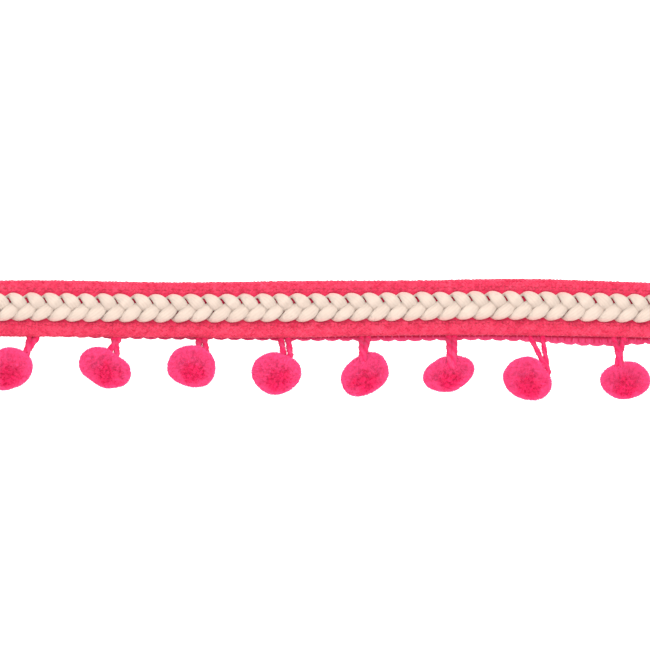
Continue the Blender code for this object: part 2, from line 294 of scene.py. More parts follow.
class Finish(NodeTree):
    """A material on a Principled shader."""

    def __init__(self, name, roughness, sheen=0.0, sheen_tint=(1, 1, 1), specular=0.25):
        self.material = bpy.data.materials.new(name)
        self.material.use_nodes = True
        super().__init__(self.material.node_tree)
        self.shader = self.tree.nodes["Principled BSDF"]
        self.set_inputs({
            "Roughness": roughness, "Specular IOR Level": specular, "Sheen Weight": sheen,
            "Sheen Roughness": 0.5, "Sheen Tint": (*sheen_tint, 1),
        })

    def set_inputs(self, values):
        for socket, value in values.items():
            self.shader.inputs[socket].default_value = value

    def feed(self, socket, wire):
        self.tree.links.new(wire.socket, self.shader.inputs[socket])

    def mix(self, mask, low, high):
        """A colour that goes from low to high as the mask goes from 0 to 1, and no further."""
        ends = [end if isinstance(end, Wire) else (*end[:3], 1.0) for end in (low, high)]
        values = {0: mask, 6: ends[0], 7: ends[1]}
        return self.node("ShaderNodeMix", values, 2, data_type="RGBA", clamp_factor=True)

    def place(self):
        return self.node("ShaderNodeTexCoord", output="Object")

    def stored(self, name):
        return self.node("ShaderNodeAttribute", output="Fac", attribute_name=name)

    def bump(self, height, distance):
        values = {"Height": height, "Distance": distance, "Strength": 1.0}
        self.feed("Normal", self.node("ShaderNodeBump", values))


def blended(first, first_share, second, second_share):
    return tuple(first_share * a + second_share * b for a, b in zip(first, second))


def yarn_finish(name, colour, shade, sheen=0.25):
    """Matte yarn: mottled, each stitch its own shade, finely hairy, and darkened by a mark that is painted
    shade in its hollows and a darker tone on some stitches.
    """
    finish = Finish(name, 0.85, sheen, (1.0, 0.45, 0.6))
    place = finish.place()
    mottle = finish.clouds(place, 420.0, 3.0).between(0.3, 0.72)
    patches = finish.clouds(place, 95.0, 2.0).between(0.25, 0.75)
    light = 0.55 * mottle + 0.2 * patches + 0.35 * finish.stored("own_shade")
    pale = tuple(min(1.0, c * 1.04 + 0.024) for c in colour)
    deep = blended(colour, 0.6, shade, 0.4)
    body = finish.mix(light, deep, pale)
    # Painted shade: the mark mixes the yarn towards its shade colour in hollows, along the tape's rolled
    # edges, where plies meet and under the tape's edge; on the heading's bars and on some knit stitches it
    # is a darker tone of the yarn itself.
    finish.feed("Base Color", finish.mix(finish.stored("painted_shade_and_tone"), body, shade))
    finish.bump(finish.clouds(place, 5200.0, 2.0), 0.00008)
    return finish.material


def cord_finish(settings):
    """Soft cotton cord: fine streaks that follow the strand, faintly warmer patches, a painted pink
    reflection of the tape where it swings out over it, and painted shade in its creases.
    """
    finish = Finish("cream_cotton_cord", 0.8, 0.2)
    course = {"Vector": finish.node("ShaderNodeUVMap", uv_map="UVMap"), "Scale": (60.0, 26.0, 1.0)}
    streaks = finish.clouds(finish.node("ShaderNodeMapping", course), 1.0, 3.0, 0.6)
    patches = finish.clouds(finish.place(), 160.0, 2.0)
    light = 0.75 * streaks.between(0.25, 0.7) + 0.4 * patches.between(0.2, 0.8)
    pale = tuple(min(1.0, c * 1.03) for c in settings.colour)
    deep = blended(settings.colour, 0.72, settings.shade, 0.28)
    body = finish.mix(light, deep, pale)
    # Painted reflection: pink from the tape, on the parts of the strands that swing out over it.
    with_tape_reflection = finish.mix(0.62 * finish.stored("tape_reflection"), body, settings.tape_reflection)
    # Painted shade in the creases between the ridges.
    finish.feed("Base Color", finish.mix(finish.stored("painted_shade_and_tone"), with_tape_reflection, settings.shade))
    finish.bump(streaks, 0.00025)
    return finish.material


def pompom_finish(settings):
    """Felted yarn ends, darkened by painted shade towards the root end of each fibre and brighter at their
    tips, with darker speckled patches of painted shade, most where the pile parts.
    """
    finish = Finish("magenta_pompom_yarn", 0.9, 0.16, (1.0, 0.3, 0.6), 0.08)
    place = finish.place()
    pores = 1.0 - finish.clouds(place, 1250.0, 2.0, 0.65).between(0.4, 0.5)
    mottle = finish.clouds(place, 620.0, 3.0).between(0.35, 0.65)
    # Painted shade down in the pile: darker towards each fibre's root, by its stored tip height; the mottle
    # is a random tone.
    root_shade = tuple(0.72 * c for c in settings.colour)
    light = (0.35 + 0.65 * finish.stored("tip")) * (0.5 + 0.5 * mottle)
    body = finish.mix(light, root_shade, settings.colour)
    # Painted shade where the pile parts.
    pit_shaded = finish.mix(0.7 * finish.stored("pit"), body, settings.depth)
    # Painted shade in the gaps between tufts, as dark specks, most where the pile parts.
    specks = (0.6 * finish.stored("pit") + 0.26) * pores
    finish.feed("Base Color", finish.mix(specks, pit_shaded, settings.shade))
    return finish.material


def floor_finish():
    """Plain white paper that is nearly as bright as the light on it."""
    finish = Finish("plain_white_floor", 0.9)
    finish.set_inputs({
        "Base Color": (0.93, 0.93, 0.93, 1), "Emission Color": (1, 1, 1, 1), "Emission Strength": 0.8,
    })
    finish.feed("Roughness", 0.85 + 0.1 * finish.clouds(finish.place(), 40.0))
    return finish.material


class Repeater(NodeTree):
    """A Geometry Nodes tree with named inputs. It realizes its instances and sets their material."""

    def __init__(self, name, inputs):
        super().__init__(bpy.data.node_groups.new(name, "GeometryNodeTree"))
        self.inputs = inputs
        self.keys = {}
        self.add_socket("Geometry", "OUTPUT", "Geometry")
        for title, value in inputs.items():
            number = "Int" if isinstance(value, int) else "Float"
            kind = title if title in ("Geometry", "Object", "Material") else number
            self.keys[title] = self.add_socket(title, "INPUT", kind).identifier
        self.entry = self.tree.nodes.new("NodeGroupInput")

    def add_socket(self, title, side, kind):
        return self.tree.interface.new_socket(title, in_out=side, socket_type=f"NodeSocket{kind}")

    def given(self, title):
        return Wire(self, self.entry.outputs[title])

    def named(self, name, kind="FLOAT"):
        return self.node("GeometryNodeInputNamedAttribute", {"Name": name}, data_type=kind)

    def vector(self, operation, *values):
        return self.node("ShaderNodeVectorMath", dict(enumerate(values)), operation=operation)

    def combined(self, **parts):
        return self.node("ShaderNodeCombineXYZ", parts)

    def spread(self, low, high, seed):
        """A random number for each point."""
        values = {2: low, 3: high, "Seed": seed}
        return self.node("FunctionNodeRandomValue", values, 1, data_type="FLOAT")

    def instances(self, points, rotation, scale):
        """The tree's Object input on every point."""
        shape = self.node("GeometryNodeObjectInfo", {"Object": self.given("Object")}, "Geometry")
        values = {"Points": points, "Instance": shape, "Rotation": rotation, "Scale": scale}
        return self.node("GeometryNodeInstanceOnPoints", values)

    def with_material(self, geometry):
        values = {"Geometry": geometry, "Material": self.given("Material")}
        return self.node("GeometryNodeSetMaterial", values)

    def realized(self, instances):
        return self.with_material(self.node("GeometryNodeRealizeInstances", {"Geometry": instances}))

    def close(self, geometry):
        exit_node = self.tree.nodes.new("NodeGroupOutput")
        self.tree.links.new(geometry.socket, exit_node.inputs["Geometry"])

    def apply(self, name, carrier):
        """The tree's result on a carrier as a plain mesh object. The carrier is removed."""
        modifier = carrier.modifiers.new(name, "NODES")
        modifier.node_group = self.tree
        for title, value in self.inputs.items():
            if title != "Geometry":
                modifier[self.keys[title]] = value
        result = plain_copy(name, carrier)
        discard(carrier)
        return result


# ---------------- shapes


def limited(value, low=0.0, high=1.0):
    return max(low, min(high, value))


def evenly(start, end, count):
    return [start + (end - start) * k / count for k in range(count + 1)]


def angles(count):
    return [2 * pi * k / count for k in range(count)]


def four_around(values, k):
    """The value before k, the one at k and the two after it, held level past the ends."""
    return [values[min(max(k + step, 0), len(values) - 1)] for step in (-1, 0, 1, 2)]


def curve_at(four, t):
    """The smooth curve through four values, at share t of the way from the second to the third."""
    a, b, c, d = four
    return 0.5 * (2 * b + (c - a) * t + (2 * a - 5 * b + 4 * c - d) * t * t
                  + (3 * b - a - 3 * c + d) * t ** 3)


def smooth_through(rows, x):
    """Value at x of the smooth curve through (x, value) rows, held level past both its ends."""
    if x <= rows[0][0]:
        return rows[0][1]
    if x >= rows[-1][0]:
        return rows[-1][1]
    row = max(k for k in range(len(rows) - 1) if rows[k][0] <= x)
    before, here, there, after = four_around(rows, row)
    span = there[0] - here[0]
    slope_here = (there[1] - before[1]) / (there[0] - before[0]) * span
    slope_there = (after[1] - here[1]) / (after[0] - here[0]) * span
    t = (x - here[0]) / span
    rise = there[1] - here[1]
    return here[1] + t * (slope_here + t * (3 * rise - 2 * slope_here - slope_there
                                            + t * (slope_here + slope_there - 2 * rise)))


def sway(x):
    return smooth_through(SWAY, x / MM) * MM


def around(values, place):
    """Value at a place on the smooth closed curve through values at 0, 1, 2 and so on."""
    near = round_down(place)
    return curve_at([values[(near + step) % len(values)] for step in (-1, 0, 1, 2)], place - near)


def catmull(points, per_span):
    """Points on the smooth curve through the given ones, per_span to each span."""
    shares = [step / per_span for step in range(per_span)]
    spans = range(len(points) - 1)
    return [curve_at(four_around(points, k), t) for k in spans for t in shares] + [points[-1]]


def finished_mesh(name, shape):
    """A new mesh out of a bmesh, which is freed."""
    mesh = bpy.data.meshes.new(name)
    shape.to_mesh(mesh)
    shape.free()
    return mesh


def mark_points(mesh, title, values):
    mesh.attributes.new(title, "FLOAT", "POINT").data.foreach_set("value", values)


def linked(name, data):
    item = bpy.data.objects.new(name, data)
    bpy.context.scene.collection.objects.link(item)
    return item


def discard(item):
    bpy.data.objects.remove(item, do_unlink=True)


def loft(name, rings, marks):
    """Closed mesh through rings of one point count. UVs: millimetres along it, and share of the way round.
    The marks are its point attributes by name, each a list of rings of numbers.
    """
    shape = bmesh.new()
    uv = shape.loops.layers.uv.new("UVMap")
    layers = {title: shape.verts.layers.float.new(title) for title in marks}
    loops = [[shape.verts.new(point) for point in ring] for ring in rings]
    for title, layer in layers.items():
        for row, values in zip(loops, marks[title]):
            for vert, value in zip(row, values):
                vert[layer] = value
    travelled = 0.0
    size = len(rings[0])
    for near, far in zip(loops, loops[1:]):
        stride = (far[0].co - near[0].co).length / MM
        for k in range(size):
            following = (k + 1) % size
            face = shape.faces.new((near[k], near[following], far[following], far[k]))
            ahead = travelled + stride
            corners = ((travelled, k), (travelled, k + 1), (ahead, k + 1), (ahead, k))
            for loop, (u, v) in zip(face.loops, corners):
                loop[uv].uv = (u, v / size)
        travelled += stride
    for ring in (loops[0], loops[-1]):
        for edge in shape.faces.new(ring).edges:
            edge.smooth = False
    bmesh.ops.recalc_face_normals(shape, faces=shape.faces)
    return finished_mesh(name, shape)


def new_object(name, mesh, material=None):
    if material:
        mesh.materials.clear()
        mesh.materials.append(material)
    mesh.shade_smooth()
    return linked(name, mesh)


def plain_copy(name, item):
    """A new object with the item's evaluated mesh."""
    bpy.context.view_layer.update()
    depsgraph = bpy.context.evaluated_depsgraph_get()
    mesh = bpy.data.meshes.new_from_object(item.evaluated_get(depsgraph))
    mesh.name = name
    return linked(name, mesh)


def fit_to_root(item, slot, *nodes):
    """Makes a piece ride on the one body and hides the solids it stands for; its slot is not used."""
    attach(item, "root")
    if nodes:
        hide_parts(*nodes)
    return item


def piece(name, mesh, material, slot, *nodes):
    return fit_to_root(new_object(name, mesh, material), slot, *nodes)


def lens_mesh(name, sides=5):
    """One stitch leg: a pointed lens of unit length along X and unit width, three quarters as thick."""
    shape = bmesh.new()
    start, end = shape.verts.new((-0.5, 0, 0)), shape.verts.new((0.5, 0, 0))
    rings = []
    for level, size in LENS_RINGS:
        wide, deep = 0.5 * size, LENS_DEPTH * size
        ring = [(level - 0.5, wide * cos(angle), deep * sin(angle)) for angle in angles(sides)]
        rings.append([shape.verts.new(place) for place in ring])
    for k in range(sides):
        following = (k + 1) % sides
        shape.faces.new((start, rings[0][following], rings[0][k]))
        shape.faces.new((end, rings[-1][k], rings[-1][following]))
        for near, far in zip(rings, rings[1:]):
            shape.faces.new((near[k], near[following], far[following], far[k]))
    bmesh.ops.recalc_face_normals(shape, faces=shape.faces)
    return finished_mesh(name, shape)


def points_object(name, rows):
    """Loose points for the stitch tree, from rows of place, aim, outward side, size and a mark of painted
    shade and tone.
    """
    places, *vectors, hollows = zip(*rows)
    mesh = bpy.data.meshes.new(name)
    mesh.from_pydata(places, [], [])
    for title, values in zip(("aim", "out", "size"), vectors):
        layer = mesh.attributes.new(title, "FLOAT_VECTOR", "POINT")
        layer.data.foreach_set("vector", [number for value in values for number in value])
    mark_points(mesh, "painted_shade_and_tone", hollows)
    return linked(name, mesh)


def stitches(name, rows, stitch, material, slot, seed):
    """A stitch shape on every point, turned to its aim and its outward side, as one mesh."""
    inputs = {"Geometry": None, "Object": stitch, "Seed": seed, "Material": material}
    tree = Repeater(f"{name} stitches", inputs)
    points = tree.node("GeometryNodeMeshToPoints", {"Mesh": tree.given("Geometry")})
    out, aim, size = (tree.named(title, "FLOAT_VECTOR") for title in ("out", "aim", "size"))
    upright = tree.node("FunctionNodeAlignRotationToVector", {"Vector": out}, axis="Z")
    aimed = {"Rotation": upright, "Vector": aim}
    turned = tree.node("FunctionNodeAlignRotationToVector", aimed, axis="X", pivot_axis="Z")
    own = {
        "Geometry": tree.instances(points, turned, size), "Name": "own_shade",
        "Value": tree.spread(0.0, 1.0, tree.given("Seed")),
    }
    shaded = tree.node("GeometryNodeStoreNamedAttribute", own, data_type="FLOAT", domain="INSTANCE")
    tree.close(tree.realized(shaded))
    made = tree.apply(name, points_object(f"{name} points", rows))
    made.data.shade_smooth()
    return fit_to_root(made, slot)


def tape_outline():
    """The tape's section as a closed line of (across, height) in millimetres."""
    top = catmull([Vector(pair) for pair in TAPE_SECTION], 5)
    under = [top[-1].lerp(top[0], share) for share in evenly(0.0, 1.0, 8)]
    return top + under[1:-1]


def on_tape(x, across, height):
    wobble = TAPE_EDGE_WOBBLE * sin(x / (11 * MM) + (2.0 if across > 0 else 0.0))
    y = across * MM + wobble * abs(across * MM) / (TAPE_WIDTH / 2)
    return Vector((x, y + sway(x), TAPE_BOTTOM + height * MM))


def level_marks(rings, value):
    return [[value] * len(ring) for ring in rings]


def tape_sheet():
    """The tape's cloth: its smooth section swept along the trim, softly uneven."""
    outline = tape_outline()
    rings = []
    for x in evenly(TRIM_START, TRIM_END, TAPE_STEPS):
        ring = [on_tape(x, across * 0.99, 0.06 + height * 0.9) for across, height in outline]
        for point, (_, height) in zip(ring, outline):
            point.z += 0.05 * MM * noise.noise(point * 500) if height > 0.3 else 0.0
        rings.append(ring)
    # Painted shade over the whole cloth, which shows only between the stitches and cords above it.
    return loft("band_cloth", rings, {"painted_shade_and_tone": level_marks(rings, 0.4)})


def walk(outline, start, end, stride):
    """Even steps along an outline from one across to another: (point, outward)."""
    line = [p for p in outline if p.y > 0.35 and end <= p.x <= start]
    left = 0.0
    made = []
    for near, far in zip(line, line[1:]):
        span = (far - near).length
        while left <= span and span > 0:
            way = (far - near) / span
            made.append((near + way * left, Vector((way.y, -way.x))))
            left += stride
        left -= span
    return made


def stitch_shade_and_tone(at, across, rng):
    """How dark a stitch is: painted shade at the tape's rolled edges, and a darker tone in soft patches and
    now and then on a stitch alone.
    """
    edge = limited((abs(across) - 7.1) / 0.7) * 0.42
    patch = 0.55 * max(0.0, noise.noise(Vector((at.x * 550, at.y * 700, 2.0))))
    return min(0.85, edge + patch + 0.6 * rng.random() ** 3)


def knit_rows(settings):
    """Rows for the knit stitches: lines of legs that slant towards each other in pairs."""
    rng = Random(3)
    outline = tape_outline()
    size = Vector((settings.stitch_length, settings.stitch_width, settings.stitch_width))
    rows = []
    for start, end in KNIT_ZONES:
        for index, (spot, outward) in enumerate(walk(outline, start, end, settings.row_pitch / MM)):
            slant = KNIT_SLANT * (1 if index % 2 else -1)
            count = int(TRIM_LENGTH / settings.stitch_pitch)
            shift = rng.uniform(0.2, 0.8)
            for k in range(count):
                x = TRIM_START + (k + shift + rng.uniform(-0.2, 0.2)) * settings.stitch_pitch
                x = limited(x, TRIM_START + 0.5 * MM, TRIM_END - 0.5 * MM)
                out = Vector((0, outward.x, outward.y)).normalized()
                across = Vector((0, out.z, -out.y))
                tilt = slant + rng.uniform(-0.25, 0.25)
                grow = rng.uniform(0.85, 1.12)
                beside = spot.x * 0.975 + rng.uniform(-0.05, 0.05)
                at = on_tape(x, beside, spot.y * 0.96 + rng.uniform(-0.05, 0.03))
                aim = Vector((cos(tilt), 0, 0)) + across * sin(tilt)
                rows.append((at, aim, out, size * grow, stitch_shade_and_tone(at, spot.x, rng)))
    return rows


def sewing_rows(settings):
    """Rows for the two lines of sewing, one beside each edge of the plait."""
    rng = Random(8)
    rows = []
    for across, height, share in SEWING_LINES:
        pitch = settings.sewing_pitch * share
        for k in range(int(TRIM_LENGTH / pitch) - 1):
            x = TRIM_START + (k + 0.9 + rng.uniform(-0.14, 0.14)) * pitch
            tilt = rng.uniform(-0.25, 0.25)
            long = pitch * rng.uniform(0.5, 0.72)
            at = on_tape(x, across + rng.uniform(-0.16, 0.16), height)
            rows.append((at, Vector((cos(tilt), sin(tilt), 0)), UP, Vector((long, *SEWING_THREAD)), 0.0))
    return rows


def heading_edge(x):
    """The heading's lower edge at x, without its scallops."""
    return -TAPE_WIDTH / 2 - smooth_through(HEADING_DROP, x / MM) * MM


def heading_sheet(settings):
    """The heading's cloth: full under the tape, then ribbed and thin as far as its scalloped edge."""
    rings, hollows = [], []
    under = -TAPE_WIDTH / 2
    hidden = TAPE_BOTTOM - CLOTH_CLEARANCE
    back = HEADING_TOP_EDGE
    for x in evenly(TRIM_START, TRIM_END, HEADING_STEPS):
        scallop = CLOTH_SCALLOP * abs(sin(pi * x / SCALLOP_PITCH)) ** 0.7
        edge = heading_edge(x) + 0.1 * MM - scallop
        rib = 0.5 + 0.5 * cos(2 * pi * x / settings.rib_pitch)
        top = HEADING_THICKNESS * (0.86 + 0.08 * rib)
        shoulder = max(under + 0.5 * MM, edge + 1.3 * MM)
        outline = [(back, 0.2 * MM), (back, hidden - 0.25 * MM), (back - 0.3 * MM, hidden)]
        outline += [(y, hidden) for y in evenly(back - 1.2 * MM, shoulder + 0.5 * MM, 5)]
        outline += [(y, top) for y in evenly(shoulder, edge + 0.9 * MM, 6)]
        outline += [(edge + 0.5 * MM, top - 0.1 * MM), (edge + 0.12 * MM, top - 0.35 * MM)]
        outline += [(edge, 0.55 * top), (edge + 0.12 * MM, 0.25 * MM), (edge + 0.5 * MM, 0.0)]
        outline += [(y, 0.0) for y in evenly(edge + 1.2 * MM, back - 1.2 * MM, 9)]
        outline.append((back - 0.3 * MM, 0.0))
        rings.append([Vector((x, y + sway(x), z)) for y, z in outline])
        # Painted shade: in the holes between the ribs, in a dark line along the tape's lower edge and under
        # the tape, and a little everywhere.
        hole_shade = (1 - rib) ** 1.2
        hollows.append([
            max(0.1, hole_shade * limited((y - edge - 0.45 * MM) / (0.3 * MM)),
                min(1.0, (y - under + 0.75 * MM) / (0.4 * MM)))
            for y, z in outline
        ])
    return loft("heading_cloth", rings, {"painted_shade_and_tone": hollows})


def direction(path, k):
    """The unit vector along a path at its point k."""
    return (path[min(k + 1, len(path) - 1)] - path[max(k - 1, 0)]).normalized()


def sideways(along, up):
    """The unit vector square to a direction and to up, or X where there is none."""
    side = along.cross(up)
    return side.normalized() if side.length > 1e-6 else Vector((1, 0, 0))


def running_lengths(path):
    """How far along a path each of its points lies."""
    lengths = [0.0]
    for a, b in zip(path, path[1:]):
        lengths.append(lengths[-1] + (b - a).length)
    return lengths


def yarn_tube(path, radii, sides, lobes, twist):
    """Rings of a yarn along a path, with a radius at each point and lobes that twist round it."""
    rings = []
    up = UP
    for k, (point, travelled) in enumerate(zip(path, running_lengths(path))):
        along = direction(path, k)
        side = sideways(along, up)
        up = side.cross(along).normalized()
        ring = []
        for angle in angles(sides):
            swell = 1 + 0.12 * cos(lobes * angle - twist * travelled)
            ring.append(point + (side * cos(angle) + up * sin(angle)) * radii[k] * swell)
        rings.append(ring)
    return rings


def joined(name, meshes):
    """One mesh out of several."""
    shape = bmesh.new()
    for mesh in meshes:
        shape.from_mesh(mesh)
        bpy.data.meshes.remove(mesh)
    return finished_mesh(name, shape)


def heading_loops(settings):
    """The wavy yarn that runs round the scallops of the heading's lower edge."""
    path = []
    for x in evenly(TRIM_START, TRIM_END, EDGE_YARN_STEPS):
        wave = abs(sin(pi * x / SCALLOP_PITCH)) ** 0.6
        y = heading_edge(x) + 0.42 * MM - 0.62 * MM * wave
        path.append(Vector((x, y + sway(x), 0.62 * MM + 0.06 * MM * noise.noise(Vector((x * 900, 5, 1))))))
    radii = [0.5 * settings.yarn] * len(path)
    rings = yarn_tube(path, radii, sides=10, lobes=3, twist=2 * pi / (1.5 * MM))
    return loft("heading_loops", rings, {"painted_shade_and_tone": level_marks(rings, 0.0)})


def heading_bars(settings):
    """Rows for the short bars of yarn that stand out of the heading's edge between its scallops."""
    rng = Random(5)
    rows = []
    for k in range(int(TRIM_LENGTH / settings.rib_pitch) - 1):
        x = TRIM_START + (k + 0.8 + rng.uniform(-0.15, 0.15)) * settings.rib_pitch
        tilt = rng.uniform(-0.25, 0.25)
        at = Vector((x, heading_edge(x) + 0.95 * MM + sway(x), 0.84 * MM))
        size = Vector((1.7, 0.6, 0.62)) * MM * rng.uniform(0.9, 1.1)
        rows.append((at, Vector((sin(tilt), cos(tilt), 0)), UP, size, rng.uniform(0.0, 0.35)))
    return rows


def strand_rings(phase, settings):
    """Rings of one plaited strand, a little uneven from lobe to lobe, with marks of painted shade in its
    creases and of painted pink reflection where it swings out over the tape.
    """
    wave = 2 * pi / PLAIT_PERIOD
    rng = Random(int(phase * 100) + 1)
    unevenness = [rng.uniform(-1, 1) for _ in range(64)]

    def lobe_trait(turn, shift):
        """A number from -1 to 1 that changes smoothly from lobe to lobe."""
        place = turn / pi + 30 + shift
        near = round_down(place)
        t = place - near
        t = t * t * (3 - 2 * t)
        return unevenness[near % 64] * (1 - t) + unevenness[(near + 1) % 64] * t

    def centre(x):
        turn = (x - PLAIT_START) * wave + phase
        late = turn + PLAIT_SKEW * sin(turn) ** 2
        zigzag = sin(late) - PLAIT_POINT * sin(3 * late)
        swing = PLAIT_SWING * (1 + 0.03 * lobe_trait(turn, 7)) * zigzag
        lean = PLAIT_LEAN * swing + 0.22 * MM * lobe_trait(turn, 13)
        rise = -PLAIT_RISE * sin(2 * turn)
        return Vector((x + lean, PLAIT_CENTRE + swing + sway(x), PLAIT_MIDDLE + rise))

    sides = 3 * settings.ridges
    step = 0.001 * MM
    rings, creases, tape_reflections = [], [], []
    for x in evenly(TRIM_START - STRAND_OVERRUN, TRIM_END + STRAND_OVERRUN, STRAND_STEPS):
        turn = (x - PLAIT_START) * wave + phase
        middle = centre(x)
        along = (centre(x + step) - centre(x - step)).normalized()
        side = Vector((-along.y, along.x, 0)).normalized()
        up = along.cross(side)
        near_end = limited((abs(x) - PLAIT_END_START) / PLAIT_END_RUN)
        width = max(0.2, around(STRAND_WIDTHS, turn * 6 / pi), PLAIT_END_WIDTH * near_end)
        half_width = 0.5 * width * MM * (1 + 0.04 * lobe_trait(turn, 0))
        neck = min(1.0, half_width / (NECK_WIDTH / 2)) ** 0.6
        half_thickness = 0.5 * settings.thickness * neck * (1 + 0.04 * lobe_trait(turn, 3))
        ring, crease_shade = [], []
        for angle in angles(sides):
            ridge = cos(settings.ridges * angle + x / (3.2 * MM))
            c, s = cos(angle), sin(angle)
            wide = c * (half_width + RIDGE_HEIGHT * ridge)
            high = copysign(abs(s) ** 0.9, s) * (half_thickness + RIDGE_HEIGHT * ridge)
            point = middle + side * wide + up * high
            point.z = max(point.z, TAPE_FLAT_TOP + 0.05 * MM)
            ring.append(point)
            # Painted shade in the creases between the ridges.
            crease_shade.append(CREASE_SHADE * max(0.0, -ridge) ** 2)
        rings.append(ring)
        creases.append(crease_shade)
        off_middle = [abs(point.y - PLAIT_CENTRE - sway(x)) / MM for point in ring]
        # Painted reflection of the pink tape, growing as the strand swings out from the plait's middle.
        tape_reflections.append([limited((off - REFLECTION_START) / REFLECTION_RUN) for off in off_middle])
    return rings, {"painted_shade_and_tone": creases, "tape_reflection": tape_reflections}


def square_cut(mesh, inset):
    """The mesh cut straight across, inset from the trim's two ends, and closed there."""
    shape = bmesh.new()
    shape.from_mesh(mesh)
    for end, way in ((TRIM_START, -1), (TRIM_END, 1)):
        everything = shape.verts[:] + shape.edges[:] + shape.faces[:]
        plane = {"plane_co": (end - way * inset, 0, 0), "plane_no": (way, 0, 0)}
        cut = bmesh.ops.bisect_plane(shape, geom=everything, clear_outer=True, **plane)
        rim = [item for item in cut["geom_cut"] if isinstance(item, bmesh.types.BMEdge)]
        for edge in rim:
            edge.smooth = False
        bmesh.ops.contextual_create(shape, geom=rim)
    shape.to_mesh(mesh)
    shape.free()
    return mesh


def welded_node(node):
    """A copy of a solid's mesh with its loose triangles joined."""
    shape = bmesh.new()
    shape.from_mesh(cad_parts[node].data)
    bmesh.ops.remove_doubles(shape, verts=shape.verts, dist=0.001 * MM)
    return finished_mesh(f"{node}_copy", shape)


def ball_tree(node):
    """A solid's surface for ray tests, and the middle of its box."""
    mesh = welded_node(node)
    corners = [vert.co.copy() for vert in mesh.vertices]
    tree = BVHTree.FromPolygons(corners, [tuple(face.vertices) for face in mesh.polygons])
    bpy.data.meshes.remove(mesh)
    low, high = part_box(node)
    return tree, Vector([(a + b) / 2 for a, b in zip(low, high)])


def thread_path(node, lie, places, radius):
    """The way of one thread: from the heading to the pompom, and over its top or into its side."""
    tree, middle = ball_tree(node)
    root_x, bend_x, bend_y, end_x, end_y = places
    root_x *= MM
    start = Vector((root_x, THREAD_EXIT_Y + sway(root_x), THREAD_ROOT_Z))
    plan = catmull([start, Vector((bend_x, bend_y, 0)) * MM, Vector((end_x, end_y, 0)) * MM], 8)
    top = [tree.ray_cast(Vector((p.x, p.y, 1.0)), DOWN)[0] for p in plan]
    hits = [k for k, hit in enumerate(top) if hit]
    over = lie == "over" and len(hits) > 1
    first = hits[0] if over else len(plan) - 1
    reach = top[first].z + 0.4 * radius if over else 0.8 * middle.z
    lengths = running_lengths([point.to_2d() for point in plan])
    path = []
    for k, point in enumerate(plan):
        climb = min(1.0, lengths[k] / lengths[first])
        height = THREAD_ROOT_Z + (reach - THREAD_ROOT_Z) * sin(0.5 * pi * climb) ** 1.2
        if k > first:
            share = (lengths[k] - lengths[first]) / (lengths[-1] - lengths[first])
            surface = top[k].z if top[k] else middle.z
            height = surface + radius * (0.4 - 1.4 * max(0.0, share - 0.55) / 0.45)
        path.append(Vector((point.x, point.y, height)))
    for _ in range(2):
        path = [path[0]] + [(a + 2 * b + c) / 4 for a, b, c in zip(path, path[1:], path[2:])] + [path[-1]]
    root = Vector((root_x, THREAD_ROOT_Y + sway(root_x), THREAD_ROOT_Z))
    inward = (middle - path[-1]).normalized() * (SINK_FROM_TOP if over else SINK_FROM_SIDE) * MM
    return catmull([root, *path, path[-1] + inward], 3)


def twisted_thread(name, path, radius, lead):
    """Two plies wound round a path, with painted shade where they meet and by the heading, and fuller by
    the heading.
    """
    lengths = running_lengths(path)
    meshes = []
    for side in (0.0, pi):
        wound, plies, fulls = [], [], []
        for k, point in enumerate(path):
            along = direction(path, k)
            across = sideways(along, UP)
            over = across.cross(along)
            full = radius * max(0.96, 1.1 - 0.14 * lengths[k] / (3.2 * MM))
            ply = PLY_SHARE * full
            angle = side + lead + 2 * pi * lengths[k] / PLY_TURN
            spot = point + (across * cos(angle) + over * sin(angle)) * (full - ply)
            wound.append(Vector((spot.x, spot.y, max(spot.z, ply + 0.05 * MM))))
            plies.append(ply)
            fulls.append(full)
        rings = yarn_tube(wound, plies, sides=PLY_SIDES, lobes=4, twist=-2 * pi / (1.1 * MM))
        shadow = []
        for ring, point, full in zip(rings, path, fulls):
            # Painted shade where the thread comes out from under the tape, and where its two plies meet.
            root = limited((point.y + 9.7 * MM) / (1.8 * MM), high=0.75)
            seam_shades = [limited((1.02 - (spot - point).length / full) / 0.24, high=0.9) for spot in ring]
            shadow.append([max(root, seam_shade) for seam_shade in seam_shades])
        meshes.append(loft(name, rings, {"painted_shade_and_tone": shadow}))
    return joined(name, meshes)


def fibre_object():
    """One fibre: a three-sided spike of unit length along Z, with its own height stored as tip."""
    mesh = bpy.data.meshes.new("fibre")
    base = [(0.5 * cos(angle), 0.5 * sin(angle), 0.0) for angle in angles(3)]
    mesh.from_pydata([*base, (0.0, 0.0, 1.0)], [], [(2, 1, 0), (0, 1, 3), (1, 2, 3), (2, 0, 3)])
    mark_points(mesh, "tip", [0.0, 0.0, 0.0, 1.0])
    return linked("fibre", mesh)


